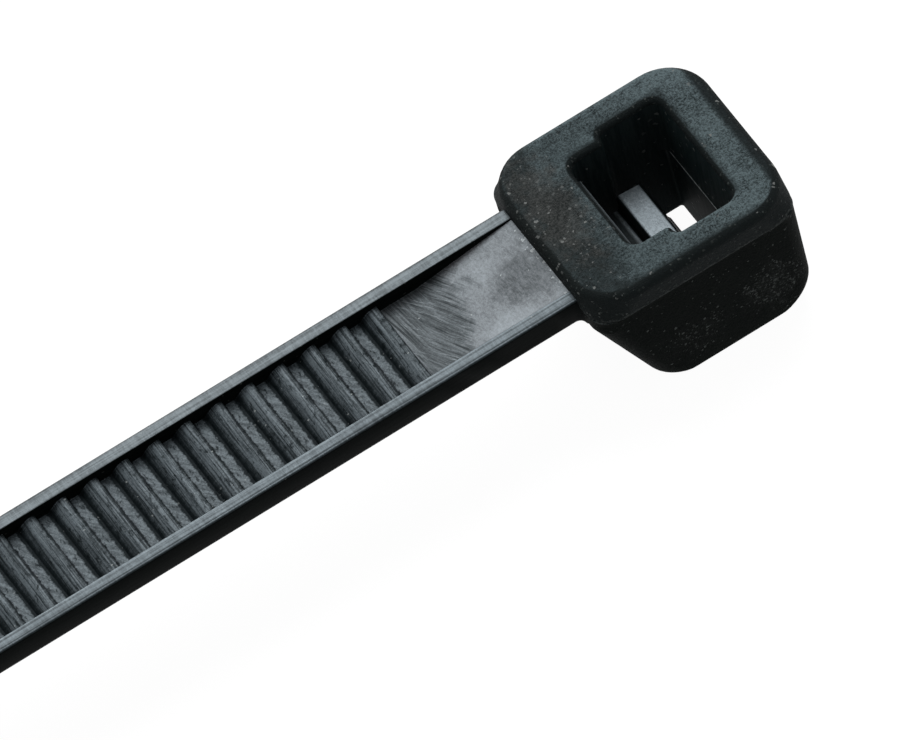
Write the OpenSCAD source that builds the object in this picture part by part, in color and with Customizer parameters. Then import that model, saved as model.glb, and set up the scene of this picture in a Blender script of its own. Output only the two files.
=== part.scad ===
// One-piece moulded cable tie: a ladder strap with a slotted head and a one-way pawl.
// The exit face of the head lies on z = 0, the strap runs from it towards -X,
// and the teeth and the entry of the slot face up.

/* [Strap] */
// Length of the whole tie, from the end of the head to the tip of the tail
overall_l = 150; // [100:5:370]
// Width of the strap
strap_w = 4.7; // [3.9:0.1:5.5]
// Thickness of the strap at its rails
strap_t = 1.15; // [1:0.05:1.5]
// Width of the rail along each side of the teeth
rail_w = 0.48; // [0.35:0.01:0.6]
// Radius of the two lower edges of the strap
back_r = 0.2; // [0.1:0.02:0.3]
// Chamfer on the outer top edge of each rail
rail_chamfer = 0.08; // [0.04:0.01:0.15]

/* [Teeth] */
// Distance from one tooth to the next
tooth_pitch = 1.23; // [1:0.01:1.5]
// Height of a tooth above its root
tooth_h = 0.34; // [0.2:0.01:0.5]
// Depth of the tooth roots under the tops of the rails
root_d = 0.63; // [0.55:0.01:0.75]
// Length of the flat root in front of a tooth
root_flat = 0.52; // [0.35:0.01:0.6]
// Length of the flat crest of a tooth
crest_l = 0.06; // [0.04:0.01:0.1]
// How much the curve of a tooth's ramp bulges, from 1 for a straight ramp
ramp_bulge = 2.2; // [1.2:0.1:3]

/* [Neck] */
// Plain length between the head and the first tooth
neck_l = 5.38; // [4:0.02:8]
// Length of the neck's floor that rises towards the head
neck_ramp_l = 3.9; // [2.5:0.1:3.9]
// Depth of the floor under the rails where it meets the head
neck_end_d = 0.07; // [0.03:0.01:0.15]
// Radius that blends the sides and the back of the strap into the head
root_fillet = 0.3; // [0.2:0.05:0.7]

/* [Tail] */
// Length of the tail past the last tooth
tail_l = 20; // [14:1:26]
// Width of the tail at its tip
tip_w = 2.4; // [1.8:0.1:3]
// Thickness of the tail
tail_t = 0.85; // [0.7:0.05:0.95]
// Length of the slope from the rails down to the tail
tail_slope = 2; // [1:0.1:3]
// Number of grip ribs on the tail
rib_count = 7; // [3:1:9]
// Distance from one grip rib to the next
rib_pitch = 1.4; // [1.1:0.1:1.6]
// Height of a grip rib
rib_h = 0.15; // [0.05:0.01:0.2]

/* [Head] */
// Length of the head along the strap
head_l = 8.05; // [7.4:0.05:9.5]
// Width of the head across the strap
head_w = 7.55; // [6.9:0.05:8.6]
// Height of the head from the exit face to the entry face
head_h = 6.2; // [5.8:0.1:7.2]
// Radius of the collar's corners, seen from above
corner_r = 1.7; // [1:0.1:2]
// Radius of the upright corners under the collar
body_r = 0.8; // [0.5:0.05:1.4]
// Radius of the edge round the entry face
top_edge_r = 0.4; // [0.15:0.05:0.45]
// Height of the collar round the entry
collar_h = 1.05; // [0.8:0.05:1.4]
// How far the body of the head is set in under the collar
collar_step = 0.05; // [0.03:0.01:0.2]
// Depth of the rail tops under the entry face
strap_drop = 0.68; // [0.5:0.01:0.9]
// Lean of the head's wall under the strap, in degrees
back_lean = 23; // [10:1:24]
// Draft of the side walls, in degrees
side_draft = 3.3; // [0.5:0.1:4]
// Draft of the end wall, in degrees
end_draft = 0.2; // [0.1:0.1:1.5]
// Radius of the lower edge under the strap
back_foot_r = 1.3; // [0.5:0.1:1.4]
// Radius of the lower edge of the end wall
end_foot_r = 1.3; // [0.4:0.1:1.4]
// Radius of the lower edges of the side walls
side_foot_r = 0.15; // [0.1:0.05:0.5]

/* [Slot] */
// Gap between the strap and each side of the slot
slot_side_gap = 0.2; // [0.15:0.01:0.35]
// Room in the slot's entry beyond the thickness of the strap
slot_room = 1.25; // [1.1:0.05:1.35]
// Thickness of the head's end wall at the entry
end_wall = 1.725; // [1.4:0.025:2]
// How far the end wall leans into the slot at its lead-in
lead_in = 0.13; // [0.05:0.01:0.3]
// Depth of the lead-in under the entry face
lead_in_d = 2.8; // [2:0.1:3.2]
// Length of the narrower pocket over the pawl
pocket_l = 1.45; // [1.3:0.05:1.7]
// Radius of the slot's corners
slot_r = 0.4; // [0.2:0.05:0.5]
// Radius of the rounded rim at the entry
rim_r = 0.25; // [0.1:0.05:0.3]

/* [Pawl] */
// Gap between the pawl and each rail of a strap in the slot
pawl_rail_gap = 0.145; // [0.1:0.005:0.25]
// Gap between the pawl and each side of its pocket
pawl_side_gap = 0.375; // [0.2:0.005:0.4]
// Depth of the pawl's top under the entry face
pawl_d = 2.5; // [2.2:0.05:2.7]
// Length of the pawl's top along the strap
pawl_top_l = 0.95; // [0.8:0.05:1.1]
// Fall of the pawl's top towards the passage
pawl_fall = 0.2; // [0.05:0.05:0.3]
// Depth of the notch between the pawl's top and the wall behind it
notch_d = 0.8; // [0.5:0.05:1]
// Thickness of the hinge that carries the pawl
hinge_t = 0.75; // [0.5:0.05:0.9]
// Depth under the entry face of the ledge on the wall behind the pawl
ledge_d = 0.7; // [0.5:0.05:1.2]
// Width of that ledge
ledge_w = 0.2; // [0.1:0.02:0.3]
// How far the nose reaches into the teeth of a strap in the slot
pawl_bite = 0.05; // [0:0.01:0.15]
// Height of the pawl's lower end above the exit face
pawl_lift = 0.45; // [0.3:0.05:0.6]
// Height of the lower tooth of the pawl above the exit face
nose_z = 0.9; // [0.8:0.05:1.1]
// Depth of the teeth of the pawl
pawl_tooth = 0.28; // [0.15:0.01:0.35]
// How far each tooth of the pawl stands back from the tooth under it
pawl_lean = 0.35; // [0.25:0.01:0.45]
// Thickness of the pawl at its lower end
pawl_end_t = 0.55; // [0.4:0.05:0.7]

/* [Hidden] */
$fn = 64;
eps = 0.01; // how far a cutting shape passes the face that it cuts
past = 1; // how far a bounding shape reaches past what it bounds
ramp_steps = 4; // flat facets along the curve of a tooth's ramp
rim_steps = 3; // flat facets round the rim of the slot
rib_run = 0.35; // length of each side of a grip rib at its foot
edge_cut = 0.15; // bevel of the pawl's top, and of the corners round its hinge
tooth_fall = 0.1; // fall of the flat under each tooth of the pawl, and set-back of its end
hinge_reach = 0.3; // how far the pawl's root is sunk into the wall that carries it
body_reach = 0.3; // how far the head's body is sunk into the collar
strap_reach = 0.9; // how far the strap is sunk into the head
blend_steps = 4; // flat facets round a blend
blend_sink = 0.1; // how far a blend is sunk into what it joins
blend_inset = 0.03; // how far a blend stays inside the edges of the strap

head_x = head_l / 2;
rail_z = head_h - strap_drop; // tops of the rails
back_z = rail_z - strap_t; // smooth back of the strap
root_z = rail_z - root_d; // tooth roots
bend_z = back_z + back_r; // where the head's wall starts to lean, inside the strap
channel_w = strap_w - 2 * rail_w;

first_tooth_x = -head_x - neck_l;
tip_x = head_x - overall_l;
tooth_count = floor((first_tooth_x - tip_x - tail_l) / tooth_pitch);
last_root_x = first_tooth_x - tooth_count * tooth_pitch;
tail_z = back_z + tail_t;

slot_x = head_x - end_wall; // end wall at the entry
exit_x = slot_x - lead_in; // end wall under the lead-in
slot_w = strap_w + 2 * slot_side_gap;
passage_x = slot_x - strap_t - slot_room;
pocket_x = passage_x - pocket_l;
pawl_w = channel_w - 2 * pawl_rail_gap;
pocket_w = pawl_w + 2 * pawl_side_gap;

pawl_z = head_h - pawl_d;
nose_x = exit_x - (strap_t - root_d) - tooth_h + pawl_bite;

// Rounded rectangle about the origin, its corners exact arcs
module rounded_rectangle(l, w, r) {
    square([l - 2 * r, w], center = true);
    square([l, w - 2 * r], center = true);
    for (x = [-1, 1], y = [-1, 1])
        translate([x * (l / 2 - r), y * (w / 2 - r)])
            circle(r);
}

// Half section of a block whose top edge is rounded over
module rounded_section(half, h, edge) {
    square([half, h - edge]);
    square([half - edge, h]);
    translate([half - edge, h - edge])
        circle(edge);
}

// Half section of a rim: it opens outwards at the top in a few flat facets of an arc
module flared_section(half, h, edge) {
    polygon(concat(
        [[0, h - edge]],
        [
            for (i = [0 : rim_steps])
                let (turn = 90 * i / rim_steps)
                [half + edge * (1 - cos(turn)), h - edge * (1 - sin(turn))]
        ],
        [[half + edge, h + eps], [0, h + eps]]
    ));
}

// One of the two half sections
module wall_section(half, h, edge, flared) {
    if (flared)
        flared_section(half, h, edge);
    else
        rounded_section(half, h, edge);
}

// The half section and its mirror image
module full_section(half, h, edge, flared) {
    wall_section(half, h, edge, flared);
    mirror([1, 0])
        wall_section(half, h, edge, flared);
}

// Block on z = 0 with corners of radius r, its wall following the section all round
module edged_block(l, w, r, h, edge, flared = false) {
    rotate([90, 0, 90])
        linear_extrude(l - 2 * r, center = true)
            full_section(w / 2, h, edge, flared);
    rotate([90, 0, 0])
        linear_extrude(w - 2 * r, center = true)
            full_section(l / 2, h, edge, flared);
    for (quarter = [0 : 3]) {
        side = quarter == 0 || quarter == 3 ? 1 : -1;
        far = quarter < 2 ? 1 : -1;
        translate([side * (l / 2 - r), far * (w / 2 - r), 0])
            rotate(90 * quarter)
                rotate_extrude(angle = 90)
                    wall_section(r, h, edge, flared);
    }
}

// Turns a drawing of X and Z into a solid across the strap, centred on Y
module across(w) {
    rotate([90, 0, 0])
        linear_extrude(w, center = true)
            children();
}

// Turns a drawing of Y and Z into a solid along the strap, from X = from to X = to
module along(from, to) {
    translate([from, 0, 0])
        rotate([90, 0, 90])
            linear_extrude(to - from)
                children();
}

// Outline of the strap from above: parallel, then tapered, with a round tip
module strap_plan() {
    tip_r = tip_w / 2;
    taper_x = tip_x + tail_l;
    translate([taper_x, -strap_w / 2])
        square([-head_x + strap_reach - taper_x, strap_w]);
    polygon([
        [taper_x, -strap_w / 2],
        [taper_x, strap_w / 2],
        [tip_x + tip_r, tip_r],
        [tip_x + tip_r, -tip_r]
    ]);
    translate([tip_x + tip_r, 0])
        circle(tip_r);
}

// Section of the strap without its teeth: round lower edges, chamfered rails
module strap_section() {
    half = strap_w / 2;
    translate([-half + back_r, back_z])
        square([strap_w - 2 * back_r, strap_t]);
    polygon([
        [-half, back_z + back_r],
        [half, back_z + back_r],
        [half, rail_z - rail_chamfer],
        [half - rail_chamfer, rail_z],
        [-half + rail_chamfer, rail_z],
        [-half, rail_z - rail_chamfer]
    ]);
    for (side = [-1, 1])
        translate([side * (half - back_r), back_z + back_r])
            circle(back_r);
}

// Points of one tooth's ramp, from its foot at x to its crest
function ramp_points(x, run) = [
    for (i = [0 : ramp_steps])
        let (u = i / ramp_steps)
        [x + run * u, root_z + tooth_h * (1 - pow(1 - u, ramp_bulge))]
];

// Floor of the channel: flat roots, ramped teeth that drop towards the head, then the neck
module channel_profile() {
    run = tooth_pitch - root_flat - crest_l;
    teeth = [
        for (i = [tooth_count - 1 : -1 : 0])
            let (crest_x = first_tooth_x - i * tooth_pitch)
            let (foot_x = crest_x - crest_l - run)
            each concat(
                [[foot_x - root_flat, root_z]],
                ramp_points(foot_x, run),
                [[crest_x, root_z + tooth_h]]
            )
    ];
    neck_end_x = -head_x + strap_reach;
    neck_ramp_x = -head_x - neck_ramp_l;
    neck_slope = (root_d - neck_end_d) / neck_ramp_l;
    wall_x = -head_x + collar_step;
    polygon(concat(
        [[last_root_x - tail_slope, rail_z + eps]],
        teeth,
        [
            [first_tooth_x, root_z],
            [neck_ramp_x, root_z],
            [wall_x, root_z + (wall_x - neck_ramp_x) * neck_slope],
            [wall_x, rail_z + eps]
        ]
    ));
}

// What is cut away over the tail, down to its face and its grip ribs
module over_tail_profile() {
    rib_x = tip_x + tip_w;
    polygon(concat(
        [[tip_x - eps, rail_z + eps], [tip_x - eps, tail_z]],
        [
            for (i = [0 : rib_count - 1])
                let (x = rib_x + i * rib_pitch)
                each [[x, tail_z], [x + rib_run, tail_z + rib_h], [x + 2 * rib_run, tail_z]]
        ],
        [
            [last_root_x - tail_slope, tail_z],
            [last_root_x, rail_z],
            [last_root_x, rail_z + eps]
        ]
    ));
}

// Flexible strap with its rack of teeth, neck and tail
module strap() {
    difference() {
        intersection() {
            translate([0, 0, back_z])
                linear_extrude(strap_t)
                    strap_plan();
            along(tip_x, -head_x + strap_reach)
                strap_section();
        }
        across(channel_w)
            channel_profile();
        across(strap_w + 2 * past)
            over_tail_profile();
    }
}

// Concave blend of radius r between a face along -X and a wall at the origin that
// leans away by some degrees. Its ends and its corner are sunk into the material.
module corner_fillet(r, lean) {
    centre = [-r * (1 - sin(lean)) / cos(lean), -r];
    arc = [
        for (i = [0 : blend_steps])
            let (turn = 90 - (90 - lean) * i / blend_steps)
            centre + r * [cos(turn), sin(turn)]
    ];
    last = blend_steps;
    polygon(concat(
        [2 * arc[0] - arc[1]],
        arc,
        [2 * arc[last] - arc[last - 1], [blend_sink, blend_sink]]
    ));
}

// Fillets that run the strap's sides and back into the head's wall
module strap_fillets() {
    wall_x = -head_x + collar_step;
    side_z = back_z + back_r + blend_inset;
    side_h = rail_z - rail_chamfer - blend_inset - side_z;
    for (turned = [0, 1])
        mirror([0, turned, 0])
            translate([wall_x, -strap_w / 2, side_z])
                linear_extrude(side_h)
                    corner_fillet(root_fillet, 0);
    translate([wall_x + (bend_z - back_z) * tan(back_lean), 0, back_z])
        across(strap_w - 2 * (back_r + blend_inset))
            corner_fillet(root_fillet, back_lean);
}

// Wall and foot of a profile on its left side, as a closed area up to x = 0
module footed_wall(half, top, bend, lean, r) {
    foot_x = -half + (bend - r) * tan(lean) + r / cos(lean);
    polygon([
        [0, 0],
        [0, top],
        [-half, top],
        [-half, bend],
        [foot_x - r * cos(lean), r - r * sin(lean)],
        [foot_x, 0]
    ]);
    translate([foot_x, r])
        circle(r);
}

// Lower body of the head: rounded in plan, leaning back under the strap, drafted elsewhere
module head_body() {
    half_l = head_x - collar_step;
    half_w = head_w / 2 - collar_step;
    body_h = head_h - collar_h + body_reach;
    intersection() {
        linear_extrude(body_h)
            rounded_rectangle(2 * half_l, 2 * half_w, body_r);
        across(head_w) {
            footed_wall(half_l, body_h, bend_z, back_lean, back_foot_r);
            mirror([1, 0])
                footed_wall(half_l, body_h, body_h, end_draft, end_foot_r);
        }
        along(-head_x, head_x) {
            footed_wall(half_w, body_h, body_h, side_draft, side_foot_r);
            mirror([1, 0])
                footed_wall(half_w, body_h, body_h, side_draft, side_foot_r);
        }
    }
}

// Slot through the head: the strap's passage and the pocket that holds the pawl
module slot() {
    passage_l = slot_x - passage_x;
    passage_mid = (slot_x + passage_x) / 2;
    pocket_end = passage_x + slot_r + rim_r;
    pocket_mid = (pocket_x + pocket_end) / 2;
    intersection() {
        translate([0, 0, -eps])
            linear_extrude(head_h + 2 * eps) {
                translate([passage_mid, 0])
                    rounded_rectangle(passage_l, slot_w, slot_r);
                translate([pocket_mid, 0])
                    rounded_rectangle(pocket_end - pocket_x, pocket_w, slot_r);
            }
        across(head_w)
            polygon([
                [-head_x, -past],
                [-head_x, head_h + past],
                [slot_x + eps, head_h + past],
                [slot_x + eps, head_h - rim_r],
                [exit_x, head_h - lead_in_d],
                [exit_x, -past]
            ]);
    }
    translate([passage_mid, 0, 0])
        edged_block(passage_l, slot_w, slot_r, head_h, rim_r, flared = true);
    translate([pocket_mid, 0, 0])
        edged_block(pocket_end - pocket_x, pocket_w, slot_r, head_h, rim_r, flared = true);
}

// One-way pawl: a block with a flat top, a notch and a hinge behind it,
// two teeth on its front and its nose pointing to the exit
module pawl() {
    root_x = pocket_x - hinge_reach;
    wall_x = pocket_x + ledge_w;
    notch_z = pawl_z - notch_d;
    hinge_z = notch_z - hinge_t;
    upper = [nose_x - pawl_lean, nose_z + tooth_pitch];
    lower = [nose_x, nose_z];
    front_x = upper[0] - pawl_lean * (pawl_z - pawl_fall - upper[1]) / tooth_pitch;
    back_x = front_x - pawl_top_l;
    tooth_back = [-pawl_tooth, -tooth_fall];
    end_x = nose_x - pawl_tooth - tooth_fall;
    across(pawl_w)
        polygon([
            [root_x, head_h - ledge_d],
            [wall_x, head_h - ledge_d],
            [wall_x, notch_z + edge_cut],
            [wall_x + edge_cut, notch_z],
            [back_x - edge_cut, notch_z],
            [back_x, notch_z + edge_cut],
            [back_x, pawl_z - edge_cut],
            [back_x + edge_cut, pawl_z],
            [front_x, pawl_z - pawl_fall],
            upper,
            upper + tooth_back,
            lower,
            lower + tooth_back,
            [end_x, pawl_lift],
            [end_x - pawl_end_t, pawl_lift],
            [back_x, hinge_z - edge_cut],
            [back_x - edge_cut, hinge_z],
            [root_x, hinge_z]
        ]);
}

// The whole tie, moulded in one piece
module tie() {
    color([0.09, 0.1, 0.105]) {
        difference() {
            union() {
                head_body();
                translate([0, 0, head_h - collar_h])
                    edged_block(head_l, head_w, corner_r, collar_h, top_edge_r);
                strap();
                strap_fillets();
            }
            slot();
        }
        pawl();
    }
}

tie();
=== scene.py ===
import math

import bmesh
import bpy
from mathutils import Matrix, Vector, noise


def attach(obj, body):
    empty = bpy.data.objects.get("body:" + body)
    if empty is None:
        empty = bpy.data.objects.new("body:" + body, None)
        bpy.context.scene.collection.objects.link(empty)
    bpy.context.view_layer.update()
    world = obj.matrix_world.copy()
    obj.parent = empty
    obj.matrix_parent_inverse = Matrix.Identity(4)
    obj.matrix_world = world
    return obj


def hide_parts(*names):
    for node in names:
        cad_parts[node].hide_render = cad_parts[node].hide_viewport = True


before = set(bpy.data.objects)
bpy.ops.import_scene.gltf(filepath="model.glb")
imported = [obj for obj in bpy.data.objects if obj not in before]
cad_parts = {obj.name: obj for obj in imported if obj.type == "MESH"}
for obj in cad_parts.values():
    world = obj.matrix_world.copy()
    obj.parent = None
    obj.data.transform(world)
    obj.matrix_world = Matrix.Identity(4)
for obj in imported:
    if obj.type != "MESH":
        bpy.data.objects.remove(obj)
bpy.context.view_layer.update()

# Sizes, in mm. Names end in _L, _W, _H, _T, _D or _R for length, width, height,
# thickness, depth under a top and radius

OVERALL_L = 150

# Strap
STRAP_W = 4.76
STRAP_T = 1.15
RAIL_W = 0.51
BACK_R = 0.2
RAIL_EDGE_R = 0.09
WALL_EDGE_R = 0.035
CHANNEL_FOOT_R = 0.02
EDGE_STEPS = 3

# Teeth. A ramp is straight at a bulge of 1
TOOTH_PITCH = 1.23
TOOTH_H = 0.34
ROOT_D = 0.63
ROOT_FLAT = 0.52
CREST_L = 0.06
RAMP_BULGE = 2.2
RAMP_STEPS = 5
FLOOR_CUTS = 15
CREST_WANDER = 0.012
CREST_RISE = 0.006

# Neck, from the first tooth to the head, and the fillets there
NECK_L = 5.38
NECK_RAMP_L = 3.9
NECK_END_D = 0.07
ROOT_FILLET = 0.3

# Tail, with its tip and its grip ribs
TAIL_L = 20
TIP_W = 2.4
TAIL_T = 0.85
TAIL_SLOPE = 2
RIB_COUNT = 7
RIB_PITCH = 1.4
RIB_H = 0.15
RIB_RUN = 0.35

# Head: the body with its leaning wall, and the collar over it
HEAD_L = 8.05
HEAD_W = 7.55
HEAD_H = 6.2
CORNER_R = 1.7
LOWER_CORNER_R = 1.05
BODY_R = 0.8
TOP_EDGE_R = 0.33
COLLAR_H = 1.05
COLLAR_STEP = 0.05
COLLAR_FOOT_R = 0.05
CORNER_STEPS = 11
STRAP_DROP = 0.68
BACK_LEAN = math.radians(23)
END_DRAFT = math.radians(0.2)
SIDE_DRAFT = math.radians(3.3)
BACK_FOOT_R = 1.3
END_FOOT_R = 1.3
SIDE_FOOT_R = 0.15

# Slot: the strap's passage and the pawl's pocket
SLOT_SIDE_GAP = 0.17
SLOT_ROOM = 1.25
END_WALL = 1.725
LEAD_IN = 0.13
LEAD_IN_D = 2.8
POCKET_L = 1.45
SLOT_R = 0.4
LOWER_SLOT_R = 0.1
STEP_R = 0.3
RIM_R = 0.22
EXIT_FLARE = 0.04
SLOT_CORNER_STEPS = 5

# Pawl, with its notch, hinge, ledge and two teeth
PAWL_RAIL_GAP = 0.145
PAWL_SIDE_GAP = 0.375
PAWL_D = 2.5
PAWL_TOP_L = 0.95
PAWL_FALL = 0.2
NOTCH_D = 0.8
HINGE_T = 0.75
LEDGE_D = 0.7
LEDGE_W = 0.2
PAWL_BITE = 0.05
PAWL_LIFT = 0.45
NOSE_Z = 0.9
PAWL_TOOTH = 0.28
TOOTH_FALL = 0.1
PAWL_LEAN = 0.35
PAWL_END_T = 0.55
PAWL_EDGE_R = 0.045

# How far the hinge and the strap reach into the head, and the angle that shades as an edge
HINGE_REACH = 0.3
STRAP_REACH = 0.9
SHARP_FROM = math.radians(38)

# Places, worked out from the sizes. The origin is in the middle of the head's exit face
HEAD_X = HEAD_L / 2
RAIL_Z = HEAD_H - STRAP_DROP
BACK_Z = RAIL_Z - STRAP_T
ROOT_Z = RAIL_Z - ROOT_D
BEND_Z = BACK_Z + BACK_R
HALF_STRAP = STRAP_W / 2
HALF_CHANNEL = HALF_STRAP - RAIL_W
WALL_X = -HEAD_X + COLLAR_STEP
BODY_TOP = HEAD_H - COLLAR_H + 0.3
FIRST_TOOTH_X = -HEAD_X - NECK_L
TIP_X = HEAD_X - OVERALL_L
TOOTH_COUNT = math.floor((FIRST_TOOTH_X - TIP_X - TAIL_L) / TOOTH_PITCH)
LAST_ROOT_X = FIRST_TOOTH_X - TOOTH_COUNT * TOOTH_PITCH
TAIL_Z = BACK_Z + TAIL_T
SLOT_X = HEAD_X - END_WALL
EXIT_X = SLOT_X - LEAD_IN
HALF_SLOT = HALF_STRAP + SLOT_SIDE_GAP
PASSAGE_X = SLOT_X - STRAP_T - SLOT_ROOM
POCKET_X = PASSAGE_X - POCKET_L
HALF_PAWL = HALF_CHANNEL - PAWL_RAIL_GAP
HALF_POCKET = HALF_PAWL + PAWL_SIDE_GAP
PAWL_Z = HEAD_H - PAWL_D
NOSE_X = EXIT_X - (STRAP_T - ROOT_D) - TOOTH_H + PAWL_BITE

# The finishes, in the order of the moulding's material slots
FINISHES = ("collar", "body", "slot", "rail", "side", "rack", "neck", "pawl")
COLLAR, BODY, SLOT, RAIL, SIDE, RACK, NECK, PAWL = range(len(FINISHES))


# Mesh helpers

def rounded_loop(bm, corners, rounds, steps):
    """A closed loop of edges through the corners, each rounded by its own radius."""
    before = set(bm.edges)
    made = [bm.verts.new(corner) for corner in corners]
    for i, vert in enumerate(made):
        bm.edges.new((vert, made[(i + 1) % len(made)]))
    for radius in sorted(set(rounds) - {0}):
        chosen = [vert for vert, own in zip(made, rounds) if own == radius]
        bmesh.ops.bevel(bm, geom=chosen, offset=radius, offset_type="OFFSET",
                        segments=steps, profile=0.5, affect="VERTICES", material=-1)
    return [edge for edge in bm.edges if edge not in before]


def only(items, kind):
    """The items of one kind: faces, edges or vertices."""
    return [item for item in items if isinstance(item, kind)]


def give_finish(faces, finish):
    """Smooth shading, and the material slot of a finish."""
    for face in faces:
        face.material_index = finish
        face.smooth = True


def skin(bm, loops, finish):
    """Bridges each loop to the next one."""
    for first, second in zip(loops, loops[1:]):
        give_finish(bmesh.ops.bridge_loops(bm, edges=first + second)["faces"], finish)


def flat_ring(bm, outer, inner, finish):
    """Fills the flat face between two loops."""
    made = bmesh.ops.triangle_fill(bm, use_beauty=True, use_dissolve=False, edges=outer + inner)
    give_finish(only(made["geom"], bmesh.types.BMFace), finish)


def arc(count, start, end):
    """Angles from start to end, in degrees, given in radians."""
    return [math.radians(start + (end - start) * i / count) for i in range(count + 1)]


def link_object(name, data):
    """A new object in the scene."""
    made = bpy.data.objects.new(name, data)
    bpy.context.scene.collection.objects.link(made)
    return made


# Head

def wall_reach(z, half, bend, lean, foot):
    """How far a wall of the head stands out at height z, with its foot rounded."""
    foot_x = half - (bend - foot) * math.tan(lean) - foot / math.cos(lean)
    if z < foot - foot * math.sin(lean):
        return foot_x + math.sqrt(max(0, foot * foot - (foot - z) ** 2))
    return half - max(0, bend - z) * math.tan(lean)


def body_loop(bm, z, grow=0.0):
    """The head's body at height z, seen from above."""
    half_l, half_w = HEAD_X - COLLAR_STEP, HEAD_W / 2 - COLLAR_STEP
    back = wall_reach(z, half_l, BEND_Z, BACK_LEAN, BACK_FOOT_R) + grow
    end = wall_reach(z, half_l, BODY_TOP, END_DRAFT, END_FOOT_R) + grow
    side = wall_reach(z, half_w, BODY_TOP, SIDE_DRAFT, SIDE_FOOT_R) + grow
    corner = BODY_R - 0.5 * (half_w - side)
    return rounded_loop(
        bm,
        [(-back, -side, z), (end, -side, z), (end, side, z), (-back, side, z)],
        [corner] * 4, CORNER_STEPS)


def collar_loop(bm, z, inset):
    """The collar at height z, set in from its full size."""
    l, w = HEAD_X - inset, HEAD_W / 2 - inset
    low = max(0, HEAD_H - TOP_EDGE_R - z) / (COLLAR_H - TOP_EDGE_R)
    corner = CORNER_R + (LOWER_CORNER_R - CORNER_R) * low - inset
    return rounded_loop(bm, [(-l, -w, z), (l, -w, z), (l, w, z), (-l, w, z)], [corner] * 4, CORNER_STEPS)


def slot_loop(bm, z, grow, end_x, corner=SLOT_R, forward=0.0):
    """The slot at height z: the strap's passage with the pawl's pocket behind it."""
    side, pocket = HALF_SLOT + grow, HALF_POCKET + grow
    near, back, end = PASSAGE_X - grow, POCKET_X - grow + forward, end_x + grow
    outer, step, inner = corner + grow, STEP_R + 0.2 * grow, 0.45 * STEP_R
    corners = [(end, -side), (end, side), (near, side), (near, pocket),
               (back, pocket), (back, -pocket), (near, -pocket), (near, -side)]
    rounds = [outer, outer, step, inner, outer, outer, inner, step]
    return rounded_loop(bm, [(x, y, z) for x, y in corners], rounds, SLOT_CORNER_STEPS)


def make_head(bm):
    """Body and collar round the slot, as one closed shell."""
    # Levels are close together where the foot is round
    foot_levels = [0, 0.012, 0.045, 0.1, 0.15, 0.255, 0.35, 0.45, 0.6, 0.78, 1.0, 1.2]
    wall_levels = [1.6, 2.4, 3.2, 4.0, BEND_Z - 0.06, BEND_Z, 4.9]
    body = [body_loop(bm, z) for z in foot_levels + wall_levels]
    under = HEAD_H - COLLAR_H
    body += [body_loop(bm, under - 0.04), body_loop(bm, under - 0.01, 0.012)]
    collar = [collar_loop(bm, under, 0.07)]
    collar += [collar_loop(bm, under + COLLAR_FOOT_R * (1 - math.cos(a)), COLLAR_FOOT_R * (1 - math.sin(a)))
               for a in arc(3, 20, 90)]
    collar += [collar_loop(bm, z, 0) for z in (under + 0.2, under + 0.45)]
    collar += [collar_loop(bm, HEAD_H - TOP_EDGE_R * (1 - math.sin(a)), TOP_EDGE_R * (1 - math.cos(a)))
               for a in arc(6, 0, 90)]
    skin(bm, body, BODY)
    skin(bm, [body[-1]] + collar, COLLAR)

    rim = [slot_loop(bm, HEAD_H - RIM_R * (1 - math.sin(a)), RIM_R * (1 - math.cos(a)), SLOT_X)
           for a in arc(5, 90, 0)]
    lead_z = HEAD_H - LEAD_IN_D
    slope = LEAD_IN / (HEAD_H - RIM_R - lead_z)
    # From the rim down: the sloping lead-in, the ridge under it, the passage and the exit
    walls = [slot_loop(bm, z, 0, SLOT_X - (HEAD_H - RIM_R - z) * slope)
             for z in (5.3, 4.4, lead_z + 0.06)]
    walls += [slot_loop(bm, lead_z + drop, 0, EXIT_X - out, LOWER_SLOT_R)
              for drop, out in ((0.03, 0.01), (0.012, 0.026), (-0.02, 0.022), (-0.04, 0))]
    walls += [slot_loop(bm, z, 0, EXIT_X, LOWER_SLOT_R, forward)
              for z, forward in ((2.2, 0), (1.4, 0), (0.9, 0.05), (0.5, 0.3), (0.2, 0.6))]
    walls += [slot_loop(bm, EXIT_FLARE * (1 - math.sin(a)), EXIT_FLARE * (1 - math.cos(a)), EXIT_X,
                        LOWER_SLOT_R, 0.75) for a in arc(3, 0, 90)]
    skin(bm, rim, COLLAR)
    skin(bm, [rim[-1]] + walls, SLOT)
    flat_ring(bm, collar[-1], rim[0], COLLAR)
    flat_ring(bm, body[0], walls[-1], BODY)


# Strap

def rack_stations():
    """Stations along the teeth, as pairs of X and floor height, from the tail to the head."""
    run = TOOTH_PITCH - ROOT_FLAT - CREST_L
    made = []
    for i in range(TOOTH_COUNT - 1, -1, -1):
        crest_x = FIRST_TOOTH_X - i * TOOTH_PITCH
        foot_x = crest_x - CREST_L - run
        made.append((foot_x - ROOT_FLAT * 0.5, ROOT_Z))
        for step in range(RAMP_STEPS + 1):
            u = step / RAMP_STEPS
            made.append((foot_x + run * u, ROOT_Z + TOOTH_H * (1 - (1 - u) ** RAMP_BULGE)))
        made.append((crest_x - 0.02, ROOT_Z + TOOTH_H))
        made.append((crest_x, ROOT_Z + TOOTH_H - 0.03))
        made.append((crest_x + 0.015, ROOT_Z + 0.02))
        made.append((crest_x + 0.03, ROOT_Z))
    return made


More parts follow.
